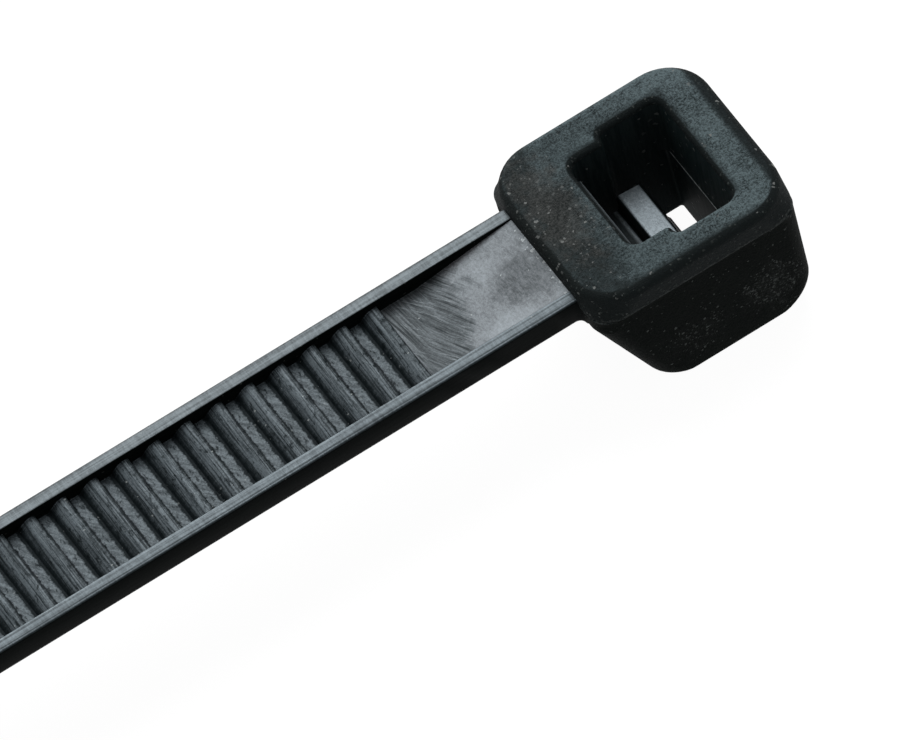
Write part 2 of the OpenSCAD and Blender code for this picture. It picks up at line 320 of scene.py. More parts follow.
def neck_stations():
    """Stations from the last tooth into the head."""
    start = -HEAD_X - NECK_RAMP_L
    slope = (ROOT_D - NECK_END_D) / NECK_RAMP_L
    made = [(FIRST_TOOTH_X + 0.7, ROOT_Z)]
    made += [(start + 0.25 * t, ROOT_Z + 0.25 * slope * t * t) for t in (0, 0.5, 1)]
    # Close together where the sides and the back blend into the leaning wall
    xs = [start + 1, start + 2, -5, -4.6] + [-4.4 + 0.04 * i for i in range(18)]
    made += [(x, ROOT_Z + (x - start) * slope) for x in xs]
    made.append((-HEAD_X + STRAP_REACH, ROOT_Z + (WALL_X - start) * slope))
    return made


def tail_stations():
    """Stations from the tip to the teeth. The floor is level with the top there."""
    tip_r = TIP_W / 2
    made = [(TIP_X + tip_r * (1 - math.cos(a)), RAIL_Z) for a in arc(8, 0, 90)]
    rib_x = TIP_X + TIP_W
    for i in range(RIB_COUNT):
        x = rib_x + i * RIB_PITCH
        made += [(x + d, RAIL_Z) for d in (0, RIB_RUN * 0.8, RIB_RUN, RIB_RUN * 1.2, 2 * RIB_RUN)]
    taper_x = TIP_X + TAIL_L
    made += [(x, RAIL_Z) for x in (taper_x - 3, taper_x - 0.3, taper_x, LAST_ROOT_X - TAIL_SLOPE)]
    meet = ROOT_D / (ROOT_D + RAIL_Z - TAIL_Z)
    made.sort()
    made.append((LAST_ROOT_X - TAIL_SLOPE * meet, RAIL_Z))
    made += [(LAST_ROOT_X - TAIL_SLOPE * meet * u, ROOT_Z + ROOT_D * meet * u)
             for u in (0.75, 0.5, 0.25)]
    made.append((LAST_ROOT_X, ROOT_Z))
    return made


def top_drop(x):
    """How far the top of the strap lies under the rails at x."""
    full = RAIL_Z - TAIL_Z
    if x >= LAST_ROOT_X:
        return 0.0
    if x > LAST_ROOT_X - TAIL_SLOPE:
        return full * (LAST_ROOT_X - x) / TAIL_SLOPE
    rib_x = TIP_X + TIP_W
    for i in range(RIB_COUNT):
        away = abs(x - (rib_x + i * RIB_PITCH + RIB_RUN))
        if away < RIB_RUN:
            return full - RIB_H * (1 - away / RIB_RUN) ** 0.8
    return full


def half_width(x):
    """Half the width of the strap at x, with its tapered tail and its blend into the head."""
    tip_r = TIP_W / 2
    taper_x = TIP_X + TAIL_L
    if x < TIP_X + tip_r:
        return math.sqrt(max(0, tip_r ** 2 - (TIP_X + tip_r - x) ** 2))
    if x < taper_x:
        return tip_r + (HALF_STRAP - tip_r) * (x - TIP_X - tip_r) / (TAIL_L - tip_r)
    along = min(ROOT_FILLET, max(0, x - (WALL_X - ROOT_FILLET)))
    return HALF_STRAP + ROOT_FILLET - math.sqrt(ROOT_FILLET ** 2 - along ** 2)


def back_drop(x):
    """How far the strap's back comes down at x, where it blends into the leaning wall."""
    wall_x = WALL_X + (BEND_Z - BACK_Z) * math.tan(BACK_LEAN)
    centre = wall_x - ROOT_FILLET * (1 - math.sin(BACK_LEAN)) / math.cos(BACK_LEAN)
    along = min(ROOT_FILLET * math.cos(BACK_LEAN), max(0, x - centre))
    return ROOT_FILLET - math.sqrt(ROOT_FILLET ** 2 - along ** 2)


def make_strap(bm):
    """The strap as one section, extruded from station to station."""
    section = [(-HALF_STRAP, BACK_Z), (HALF_STRAP, BACK_Z), (HALF_STRAP, RAIL_Z),
               (HALF_CHANNEL, RAIL_Z), (HALF_CHANNEL, ROOT_Z), (-HALF_CHANNEL, ROOT_Z),
               (-HALF_CHANNEL, RAIL_Z), (-HALF_STRAP, RAIL_Z)]
    rounds = [BACK_R, BACK_R, RAIL_EDGE_R, WALL_EDGE_R, CHANNEL_FOOT_R, CHANNEL_FOOT_R,
              WALL_EDGE_R, RAIL_EDGE_R]
    loop = rounded_loop(bm, [(0, y, z) for y, z in section], rounds, EDGE_STEPS)
    floor = [edge for edge in loop
             if abs(edge.verts[0].co.z - ROOT_Z) < 1e-6 and abs(edge.verts[1].co.z - ROOT_Z) < 1e-6]
    before = set(bm.edges)
    bmesh.ops.subdivide_edges(bm, edges=floor, cuts=FLOOR_CUTS)
    loop = [edge for edge in loop if edge.is_valid] + [edge for edge in bm.edges if edge not in before]
    rest = bm.verts.layers.float_vector.new("rest")
    for vert in {v for edge in loop for v in edge.verts}:
        vert[rest] = vert.co

    def lay(vert, x, floor_z):
        """Where a point of the section goes at x, with the channel's floor at floor_z."""
        _, y, z = vert[rest]
        edge_x = x
        top = RAIL_Z - top_drop(x)
        if z > BACK_Z + BACK_R + 0.01:
            if floor_z >= top and abs(y) < HALF_CHANNEL + WALL_EDGE_R + 0.001:
                z = top
            elif abs(y) < HALF_CHANNEL + 0.001 and z < ROOT_Z + 0.05:
                z += min(floor_z, top) - ROOT_Z
                if floor_z > ROOT_Z + 0.25 and x < FIRST_TOOTH_X + 0.1:
                    edge_x += CREST_WANDER * noise.noise(Vector((x * 3.1, y * 4.0, 2.7)))
                    z += CREST_RISE * noise.noise(Vector((x * 2.3, y * 5.0, 7.1)))
            else:
                z -= top_drop(x)
        else:
            z -= back_drop(x)
        if x < TIP_X + TAIL_L:
            y *= half_width(x) / HALF_STRAP
        elif abs(y) > HALF_CHANNEL + 0.2:
            low = min(1, max(0, (RAIL_Z - 0.2 - z) / 0.3))
            y += math.copysign(low * (half_width(x) - HALF_STRAP), y)
        return Vector((edge_x, y, z))

    stations = tail_stations() + rack_stations() + neck_stations()
    for vert in {v for edge in loop for v in edge.verts}:
        vert.co = lay(vert, *stations[0])
    for x, floor_z in stations[1:]:
        made = bmesh.ops.extrude_edge_only(bm, edges=loop)["geom"]
        loop = only(made, bmesh.types.BMEdge)
        for vert in only(made, bmesh.types.BMVert):
            vert.co = lay(vert, x, floor_z)
    bmesh.ops.edgeloop_fill(bm, edges=loop)
    bmesh.ops.remove_doubles(bm, verts=bm.verts, dist=1e-5)


def finish_strap(bm):
    """Gives each face of the strap the finish of its place."""
    for face in bm.faces:
        face.smooth = True
        x, y, z = face.calc_center_median()
        in_channel = abs(y) < HALF_CHANNEL + 0.001 and ROOT_Z - 0.1 < z < RAIL_Z - 0.005
        if in_channel and x > LAST_ROOT_X - 2:
            wall = abs(face.normal.y) > 0.7
            face.material_index = SIDE if wall else (NECK if x > FIRST_TOOTH_X + 0.02 else RACK)
        else:
            face.material_index = RAIL if face.normal.z > 0.5 else SIDE


# Pawl

def make_pawl(bm):
    """The pawl: its profile as one face, extruded across and its edges rounded."""
    root_x = POCKET_X - HINGE_REACH
    wall_x = POCKET_X + LEDGE_W
    notch_z = PAWL_Z - NOTCH_D
    top_z, front_z = PAWL_Z - 0.06, PAWL_Z - PAWL_FALL + 0.06
    hinge_z = notch_z - HINGE_T
    upper = (NOSE_X - PAWL_LEAN, NOSE_Z + TOOTH_PITCH)
    front_x = upper[0] - PAWL_LEAN * (PAWL_Z - PAWL_FALL - upper[1]) / TOOTH_PITCH
    back_x = front_x - PAWL_TOP_L
    end_x = NOSE_X - PAWL_TOOTH - TOOTH_FALL
    profile = [
        (root_x, HEAD_H - LEDGE_D, 0), (wall_x, HEAD_H - LEDGE_D, 0.05),
        (wall_x, notch_z, 0.15), (back_x, notch_z, 0.15),
        (back_x, top_z, 0.16), (front_x, front_z, 0.09),
        (*upper, 0.03), (upper[0] - PAWL_TOOTH, upper[1] - TOOTH_FALL, 0.05),
        (NOSE_X, NOSE_Z, 0.03), (NOSE_X - PAWL_TOOTH, NOSE_Z - TOOTH_FALL, 0.05),
        (end_x, PAWL_LIFT, 0.05), (end_x - PAWL_END_T, PAWL_LIFT, 0.05),
        (back_x, hinge_z, 0.15), (root_x, hinge_z, 0)]
    corners, rounds = [(x, -HALF_PAWL, z) for x, z, _ in profile], [r for _, _, r in profile]
    loop = rounded_loop(bm, corners, rounds, 4)
    face = bmesh.ops.edgeloop_fill(bm, edges=loop)["faces"]
    made = bmesh.ops.extrude_face_region(bm, geom=face)["geom"]
    bmesh.ops.translate(bm, verts=only(made, bmesh.types.BMVert), vec=(0, 2 * HALF_PAWL, 0))
    bmesh.ops.recalc_face_normals(bm, faces=bm.faces)
    rims = [edge for edge in bm.edges if len({round(vert.co.y, 3) for vert in edge.verts}) == 1]
    bmesh.ops.bevel(bm, geom=rims, offset=PAWL_EDGE_R, offset_type="OFFSET", segments=3,
                    profile=0.5, affect="EDGES", clamp_overlap=True, material=-1)
    give_finish(bm.faces, PAWL)


# Moulding

def make_moulding():
    """Head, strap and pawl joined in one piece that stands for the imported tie."""
    mesh = bpy.data.meshes.new("tie_moulding")
    whole = bmesh.new()
    for build in (make_head, make_strap, make_pawl):
        bm = bmesh.new()
        build(bm)
        bmesh.ops.recalc_face_normals(bm, faces=bm.faces)
        if build is make_strap:
            finish_strap(bm)
        part = bpy.data.meshes.new("part")
        bm.to_mesh(part)
        whole.from_mesh(part)
        bpy.data.meshes.remove(part)
        bm.free()
    bmesh.ops.scale(whole, vec=(0.001, 0.001, 0.001), verts=whole.verts)
    whole.to_mesh(mesh)
    whole.free()
    mesh.set_sharp_from_angle(angle=SHARP_FROM)
    made = link_object("tie_moulding", mesh)
    even = made.modifiers.new("even_normals", "WEIGHTED_NORMAL")
    even.keep_sharp = True
    even.weight = 50
    return made


moulding = make_moulding()


# Node helpers

def node(tree, kind, **values):
    """Adds a shader node. Values that name a socket are fed to it, others are set on the node."""
    made = tree.nodes.new("ShaderNode" + kind)
    for name, value in values.items():
        if hasattr(made, name):
            setattr(made, name, value)
        else:
            feed(tree, made.inputs[name], value)
    return made


def feed(tree, socket, value):
    """Links a socket to an output, or sets it to a plain value."""
    if isinstance(value, bpy.types.NodeSocket):
        tree.links.new(value, socket)
    else:
        socket.default_value = value


def calc(tree, operation, *values, clamp=False):
    """A calculation with plain numbers."""
    made = node(tree, "Math", operation=operation, use_clamp=clamp)
    for socket, value in zip(made.inputs, values):
        feed(tree, socket, value)
    return made.outputs[0]


def times(tree, first, *others):
    """The product of the values."""
    for other in others:
        first = calc(tree, "MULTIPLY", first, other)
    return first


def weigh(tree, value, factor, base):
    """The value times a factor, added to a base."""
    return calc(tree, "MULTIPLY_ADD", value, factor, base)


def rest_of(tree, value):
    """1 less the value."""
    return calc(tree, "SUBTRACT", 1, value)


def blend(tree, factor, first, second):
    """Between two values: the first at factor 0, the second at factor 1."""
    return weigh(tree, second, factor, times(tree, first, rest_of(tree, factor)))


def vector(tree, operation, first, second):
    """A calculation with vectors. SCALE takes a plain number as its second value."""
    made = node(tree, "VectorMath", operation=operation)
    feed(tree, made.inputs[0], first)
    feed(tree, made.inputs["Scale" if operation == "SCALE" else 1], second)
    return made.outputs[0]


def stir(tree, where, scale, detail, amount):
    """Places moved about by noise."""
    bend = node(tree, "TexNoise", Vector=where, Scale=scale, Detail=detail)
    return vector(tree, "ADD", where, vector(tree, "SCALE", bend.outputs["Color"], amount))


def fade(tree, value, low, high, start=0.0, end=1.0):
    """A soft step of a value between low and high, from start to end."""
    made = node(tree, "MapRange", interpolation_type="SMOOTHSTEP")
    for name, level in (("Value", value), ("From Min", low), ("From Max", high),
                        ("To Min", start), ("To Max", end)):
        feed(tree, made.inputs[name], level)
    return made.outputs[0]


def band(tree, value, low, start, end, high):
    """1 where a value lies between start and end, with soft edges out to low and high."""
    return times(tree, fade(tree, value, low, start), fade(tree, value, high, end))


def tint(tree, factor, first, second):
    """A colour between two others."""
    made = node(tree, "Mix", data_type="RGBA")
    for socket, value in zip((made.inputs[0], made.inputs[6], made.inputs[7]), (factor, first, second)):
        feed(tree, socket, (*value, 1) if isinstance(value, tuple) else value)
    return made.outputs[2]


# Node groups, with places and sizes in mm

def group_of(name, takes, gives):
    """A node group with named sockets, as (tree, inputs, outputs)."""
    tree = bpy.data.node_groups.new(name, "ShaderNodeTree")
    for label, kind in takes:
        tree.interface.new_socket(name=label, in_out="INPUT", socket_type="NodeSocket" + kind)
    for label in gives:
        tree.interface.new_socket(name=label, in_out="OUTPUT", socket_type="NodeSocketFloat")
    return tree, tree.nodes.new("NodeGroupInput").outputs, tree.nodes.new("NodeGroupOutput").inputs


def build_grain():
    """Spark-eroded grain: two sizes of fine pits."""
    tree, takes, gives = group_of(
        "spark_grain", [("Place", "Vector"), ("Size", "Float")], ["Tone", "Height"])
    rate = calc(tree, "DIVIDE", 1, takes["Size"])
    coarse = node(tree, "TexNoise", Vector=takes["Place"], Scale=rate, Detail=2.0, Roughness=0.6)
    fine = node(tree, "TexNoise", Vector=takes["Place"], Scale=times(tree, rate, 2.6),
                Detail=1.0, Roughness=0.6)
    both = weigh(tree, fine.outputs["Fac"], 0.7, times(tree, coarse.outputs["Fac"], 0.9))
    feed(tree, gives["Tone"], fade(tree, both, 0.64, 0.98))
    feed(tree, gives["Height"], both)
    return tree


def build_patches():
    """Slow changes of tone."""
    tree, takes, gives = group_of("slow_patches", [("Place", "Vector"), ("Size", "Float")], ["Tone"])
    slow = node(tree, "TexNoise", Vector=takes["Place"], Scale=calc(tree, "DIVIDE", 1, takes["Size"]),
                Detail=4.0, Roughness=0.6, Distortion=0.4)
    feed(tree, gives["Tone"], fade(tree, slow.outputs["Fac"], 0.34, 0.66))
    return tree


def build_specks():
    """Dust: small specks of uneven size and shape."""
    tree, takes, gives = group_of(
        "dust_specks",
        [("Place", "Vector"), ("Spacing", "Float"), ("Size", "Float"), ("Cover", "Float")], ["Mask"])
    rate = calc(tree, "DIVIDE", 1, takes["Spacing"])
    moved = stir(tree, takes["Place"], times(tree, rate, 1.3), 2.0, times(tree, takes["Spacing"], 0.9))
    cells = node(tree, "TexVoronoi", feature="F1", Vector=moved, Scale=rate)
    own = node(tree, "SeparateColor")
    feed(tree, own.inputs[0], cells.outputs["Color"])
    reach = times(tree, calc(tree, "POWER", own.outputs[0], 2.5), takes["Size"])
    inside = calc(tree, "SUBTRACT", reach, cells.outputs["Distance"])
    dot = calc(tree, "MULTIPLY", inside, 14, clamp=True)
    here = calc(tree, "LESS_THAN", own.outputs[1], takes["Cover"])
    feed(tree, gives["Mask"], times(tree, dot, here, weigh(tree, own.outputs[2], 0.8, 0.2)))
    return tree


def build_lines():
    """Drag lines: fine scratches that run in one direction."""
    tree, takes, gives = group_of(
        "drag_lines",
        [("Place", "Vector"), ("Turn", "Vector"), ("Stretch", "Vector"), ("Wave", "Float")],
        ["Tone", "Height"])
    moved = stir(tree, takes["Place"], 0.45, 1.0, takes["Wave"])
    turned = node(tree, "VectorRotate", rotation_type="EULER_XYZ", Vector=moved, Rotation=takes["Turn"])
    drawn = vector(tree, "MULTIPLY", turned.outputs[0], takes["Stretch"])
    fine = node(tree, "TexNoise", Vector=drawn, Scale=1.0, Detail=5.0, Roughness=0.72)
    feed(tree, gives["Tone"], fade(tree, fine.outputs["Fac"], 0.38, 0.62))
    feed(tree, gives["Height"], fine.outputs["Fac"])
    return tree


def build_spot():
    """A soft spot with a ragged edge, for what is found at one place only."""
    tree, takes, gives = group_of(
        "soft_spot", [("Place", "Vector"), ("Centre", "Vector"), ("Size", "Vector")], ["Mask"])
    away = vector(tree, "SUBTRACT", takes["Place"], takes["Centre"])
    length = node(tree, "VectorMath", operation="LENGTH",
                  Vector=vector(tree, "DIVIDE", away, takes["Size"]))
    rough = node(tree, "TexNoise", Vector=takes["Place"], Scale=2.2, Detail=3.0, Roughness=0.65)
    reach = calc(tree, "ADD", length.outputs["Value"], weigh(tree, rough.outputs["Fac"], 1.6, -0.8))
    feed(tree, gives["Mask"], fade(tree, reach, 1.0, 0.35))
    return tree


GRAIN, PATCHES, SPECKS, LINES, SPOT = (
    build_grain(), build_patches(), build_specks(), build_lines(), build_spot())


def place(tree, group, **values):
    """Puts a group in a material. Gives its outputs."""
    made = tree.nodes.new("ShaderNodeGroup")
    made.node_tree = group
    for name, value in values.items():
        feed(tree, made.inputs[name.capitalize()], value)
    return made.outputs


# Short forms of the groups. Each gives what the finishes use of it.

def patches(tree, spot_at, size):
    return place(tree, PATCHES, place=spot_at, size=size)["Tone"]


def specks(tree, spot_at, spacing, size, cover):
    return place(tree, SPECKS, place=spot_at, spacing=spacing, size=size, cover=cover)["Mask"]


def drag(tree, spot_at, turn, stretch, wave):
    return place(tree, LINES, place=spot_at, turn=(0, 0, turn), stretch=stretch, wave=wave)


def spot(tree, spot_at, centre, size):
    return place(tree, SPOT, place=spot_at, centre=centre, size=size)["Mask"]


# Places of the finishes, in mm

# Spots: a centre and a reach along each axis
GRIME = ((-2.9, 0.8, 6.2), (1.4, 3.6, 1.5))
CHIP = ((3.95, -2.2, 6.0), (0.16, 0.12, 0.16))
RIGHT_DUST = ((2.3, -3.5, 2.1), (1.4, 2, 1.7))
LEFT_DUST = ((-0.7, -3.5, 1.8), (1.6, 2, 1.2))
DARKER_PLACE = ((-4.9, -0.4, 5.4), (1.5, 1.6, 3))
# Two painted highlights on the neck's satin
NECK_HIGHLIGHTS = (((-6.2, 0.9, 5.3), (1.3, 0.9, 3)), ((-6.1, -1.5, 5.3), (1.4, 0.6, 3)))

# Soft steps: where each starts and where it ends
# The first two steps place painted shade on the collar's near edge and its +X end, the third the painted
# shade by the slot's rim
NEAR_EDGE_SHADE_Y = (-3.52, -3.22)
END_EDGE_SHADE_X = (HEAD_X - 0.36, HEAD_X - 0.62)
RIM_SHADE = (0.16, 0.42)
STRAP_SIDE_X = (-1.7, -2.5)
COLLAR_TONE_X = (-2.6, 3.0)
RIDGE_END_Y = (2.4, 2.1)
RAIL_COLOUR_Y = (0.5, -0.5)
NEAR_RAIL_Y = (-2.28, -1.95)
SCRATCHED_X = (-5.2, -6.6)
FAN_X = (-8.9, -7.3)
NECK_TONE_Y = (0.5, -1.8)
HEAD_DUST_X = (-4.35, -4.1)
PAWL_BACK_SHADE_X = (-0.6, -0.4)
PAWL_FAR_SHADE_Y = (1.9, 0.4)

# Bands: from nothing to full and back again, the teeth's in parts of a pitch
SEAM_Z = tuple(HEAD_H - COLLAR_H + 0.03 + d for d in (-0.12, -0.05, 0, 0.05))
RIDGE_Z = tuple(HEAD_H - LEAD_IN_D + d for d in (-0.06, -0.02, 0.01, 0.05))
# The teeth's two bands place painted sheen on the floor and on the ramp
FLOOR_SHEEN_PART = (0.05, 0.1, 0.3, 0.36)
RAMP_SHEEN_PART = (0.46, 0.66, 0.85, 1.0)

# Lines along the near rail, partly its drawn marks and partly painted highlight and shade where its ledge
# and rounded edge catch the light: place across the strap, half width, change of tone
RAIL_LINES_AND_HIGHLIGHTS = ((-1.89, 0.035, 0.5), (-1.98, 0.04, -0.25), (-2.13, 0.05, 0.3),
              (-2.22, 0.035, -0.5), (-2.275, 0.03, 0.45))

# The slot's near side and its strap side count as this much further away, so no shade falls there
CLEAR_SIDE = 0.4


# Finishes: one for each kind of surface of the moulding

def start_finish(name):
    """A black nylon material. Gives material, tree, shader, place in mm, its axes and the normal."""
    mat = bpy.data.materials.new("nylon_" + name)
    mat.use_nodes = True
    tree = mat.node_tree
    shader = tree.nodes["Principled BSDF"]
    shader.inputs["IOR"].default_value = 1.53
    shader.inputs["Specular Tint"].default_value = (0.8, 0.93, 1.0, 1)
    where = node(tree, "TexCoord")
    scaled = node(tree, "Mapping", Vector=where.outputs["Object"], Scale=(1000, 1000, 1000))
    axes = node(tree, "SeparateXYZ", Vector=scaled.outputs[0])
    facing = node(tree, "SeparateXYZ", Vector=where.outputs["Normal"])
    return mat, tree, shader, scaled.outputs[0], axes.outputs, facing.outputs


def end_finish(tree, shader, colour, gloss, rough, height, depth):
    """Links a finish to its shader. Depth is the height of the relief, in mm."""
    feed(tree, shader.inputs["Base Color"], colour)
    feed(tree, shader.inputs["Specular IOR Level"], gloss)
    feed(tree, shader.inputs["Roughness"], rough)
    bump = node(tree, "Bump", Strength=1.0, Distance=0.001 * depth, Height=height)
    feed(tree, shader.inputs["Normal"], bump.outputs["Normal"])


def outside(tree, axis, low, high):
    """How far a place lies outside a span of one axis, below 0 inside it."""
    return calc(tree, "MAXIMUM", calc(tree, "SUBTRACT", axis, high), calc(tree, "SUBTRACT", low, axis))


def outside_slot(tree, axes):
    """How far a place on the top lies from the slot's far side and its end, in mm."""
    gaps = [calc(tree, "MAXIMUM", outside(tree, axes[0], start + CLEAR_SIDE, SLOT_X),
                 outside(tree, axes[1], CLEAR_SIDE - half, half))
            for start, half in ((PASSAGE_X, HALF_SLOT), (POCKET_X, HALF_POCKET))]
    return calc(tree, "MINIMUM", *gaps)


def collar_finish():
    """Spark-eroded top with painted shade on its rounded edges, and grime with grit on the strap's side."""
    mat, tree, shader, spot_at, axes, normal = start_finish("collar")
    grain = place(tree, GRAIN, place=spot_at, size=0.085)
    blotch, patch = patches(tree, spot_at, 0.22), patches(tree, spot_at, 1.3)

    # Painted light and shade: full on the flat top, brighter where it turns towards the softbox, painted
    # shade on the rounded edges, the near edge, the +X end and by the slot's rim
    lit = times(tree, fade(tree, weigh(tree, normal[1], 0.3, normal[2]), 0.9, 0.995),
                fade(tree, axes[1], *NEAR_EDGE_SHADE_Y, 0.15, 1))
    level = weigh(tree, blotch, 0.38, weigh(tree, grain["Tone"], 0.8, weigh(tree, patch, 0.3, 0.03)))
    level = times(tree, level, lit,
                  weigh(tree, calc(tree, "MAXIMUM", normal[1], 0), 1.6, 1),
                  fade(tree, axes[0], *END_EDGE_SHADE_X, 0.08, 1),
                  fade(tree, outside_slot(tree, axes), *RIM_SHADE, 0.4, 1),
                  fade(tree, axes[0], *COLLAR_TONE_X, 0.58, 0.84))
    lit = times(tree, lit, fade(tree, axes[0], *END_EDGE_SHADE_X, 0.3, 1))
    colour = tint(tree, level, (0.0035, 0.0052, 0.005), (0.112, 0.149, 0.159))

    # Grime towards the strap
    strap_side = fade(tree, weigh(tree, patch, 0.8, axes[0]), *STRAP_SIDE_X)
    grime = spot(tree, spot_at, *GRIME)
    brown = tint(tree, level, (0.005, 0.006, 0.0055), (0.075, 0.075, 0.071))
    colour = tint(tree, times(tree, strap_side, 0.66), colour, (0.006, 0.008, 0.0075))
    colour = tint(tree, times(tree, grime, 0.75), colour, brown)

    # Grit in clumps on the top, and finer grit on the dark edges
    cover = weigh(tree, grime, 0.6, weigh(tree, strap_side, 0.2, 0.05))
    cover = times(tree, cover, weigh(tree, patches(tree, spot_at, 0.5), 1.7, 0.1))
    grit = specks(tree, spot_at, 0.13, 0.62, cover)
    colour = tint(tree, times(tree, grit, 0.85), colour, (0.2, 0.21, 0.205))
    cover = times(tree, rest_of(tree, lit), weigh(tree, patch, 0.4, 0.15))
    colour = tint(tree, specks(tree, spot_at, 0.08, 0.75, cover), colour, (0.05, 0.058, 0.055))

    # A wavy line of flash along the lower edge, and one chip
    seam = times(tree, band(tree, weigh(tree, blotch, -0.1, axes[2]), *SEAM_Z),
                 weigh(tree, grain["Tone"], 0.7, times(tree, patch, 0.4)))
    colour = tint(tree, seam, colour, (0.085, 0.095, 0.092))
    colour = tint(tree, times(tree, spot(tree, spot_at, *CHIP), 0.8), colour, (0.5, 0.53, 0.5))
    end_finish(tree, shader, colour, 0.1, 0.7, grain["Height"], 0.05)
    return mat


def body_finish():
    """The body: nearly black, with two clusters of dust on its near side."""
    mat, tree, shader, spot_at, _, _ = start_finish("body")
    grain = place(tree, GRAIN, place=spot_at, size=0.09)
    level = weigh(tree, grain["Tone"], 0.6, times(tree, patches(tree, spot_at, 1.1), 0.4))
    colour = tint(tree, level, (0.0016, 0.0026, 0.0021), (0.0055, 0.0075, 0.0065))
    right, left = spot(tree, spot_at, *RIGHT_DUST), spot(tree, spot_at, *LEFT_DUST)
    haze = times(tree, calc(tree, "MAXIMUM", right, times(tree, left, 0.4)), grain["Tone"], 0.5)
    colour = tint(tree, haze, colour, (0.04, 0.045, 0.043))
    cover = weigh(tree, calc(tree, "MAXIMUM", right, times(tree, left, 0.5)), 0.85, 0.05)
    for spacing, light in ((0.07, (0.117, 0.1287, 0.1242)), (0.11, (0.156, 0.1716, 0.1656))):
        colour = tint(tree, specks(tree, spot_at, spacing, 0.75, cover), colour, light)
    end_finish(tree, shader, colour, 0.015, 0.6, grain["Height"], 0.03)
    return mat


def slot_finish():
    """The slot's walls: dark and drawn downwards, with a painted highlight on the ridge under the lead-in.
    """
    mat, tree, shader, spot_at, axes, _ = start_finish("slot")
    drawn = drag(tree, spot_at, 0, (5, 5, 0.6), 0.2)
    colour = tint(tree, drawn["Tone"], (0.008, 0.014, 0.015), (0.018, 0.026, 0.027))
    colour = tint(tree, specks(tree, spot_at, 0.16, 0.6, 0.25), colour, (0.13, 0.14, 0.135))
    # A painted highlight along the ridge under the lead-in
    ridge_highlight = times(tree, band(tree, axes[2], *RIDGE_Z),
                  fade(tree, axes[0], EXIT_X - 0.05, EXIT_X - 0.01), fade(tree, axes[1], *RIDGE_END_Y),
                  weigh(tree, drawn["Tone"], 0.5, 0.5))
    colour = tint(tree, ridge_highlight, colour, (0.45, 0.49, 0.49))
    end_finish(tree, shader, colour, 0.02, 0.6, drawn["Height"], 0.01)
    return mat


def rail_finish():
    """Rails: drawn lengthwise, finely ribbed across, with painted shade where they turn down and painted
    highlight and shade lines along the near rail.
    """
    mat, tree, shader, spot_at, axes, normal = start_finish("rail")
    ridges = drag(tree, spot_at, 0, (8, 0.8, 1.0), 0.05)
    streak = drag(tree, spot_at, 0, (0.2, 10, 9), 0.05)
    grain = place(tree, GRAIN, place=spot_at, size=0.07)["Tone"]
    level = weigh(tree, ridges["Tone"], 0.28, weigh(tree, streak["Tone"], 0.42, 0.48))
    level = times(tree, level, weigh(tree, grain, 0.3, 0.85), fade(tree, axes[1], *NEAR_RAIL_Y, 0.66, 1.05))
    wander = weigh(tree, streak["Height"], 0.05, axes[1])
    # Lines along the near rail: drawn marks, and painted highlight and shade lines on its ledge and edge
    for y, wide, change in RAIL_LINES_AND_HIGHLIGHTS:
        away = calc(tree, "ABSOLUTE", calc(tree, "SUBTRACT", wander, y))
        level = times(tree, level, weigh(tree, fade(tree, away, wide, 0.3 * wide), change, 1))
    # Painted shade where the rail's edges turn down
    level = times(tree, level, fade(tree, normal[2], 0.72, 0.98, 0.3, 1))
    light = tint(tree, fade(tree, axes[1], *RAIL_COLOUR_Y), (0.06, 0.069, 0.074), (0.056, 0.071, 0.082))
    colour = tint(tree, level, (0.006, 0.008, 0.0085), light)
    colour = tint(tree, specks(tree, spot_at, 0.12, 0.35, 0.06), colour, (0.2, 0.21, 0.21))
    end_finish(tree, shader, colour, times(tree, level, 0.6), 0.34, ridges["Height"], 0.006)
    return mat


def side_finish():
    """The strap's sides, its back and the channel's walls: nearly black, drawn lengthwise."""
    mat, tree, shader, spot_at, _, _ = start_finish("side")
    drawn = drag(tree, spot_at, 0, (0.8, 8, 8), 0.2)
    colour = tint(tree, drawn["Tone"], (0.0014, 0.0021, 0.0018), (0.0036, 0.0048, 0.0044))
    colour = tint(tree, specks(tree, spot_at, 0.12, 0.4, 0.06), colour, (0.06, 0.065, 0.06))
    end_finish(tree, shader, colour, 0.02, 0.45, drawn["Height"], 0.006)
    return mat


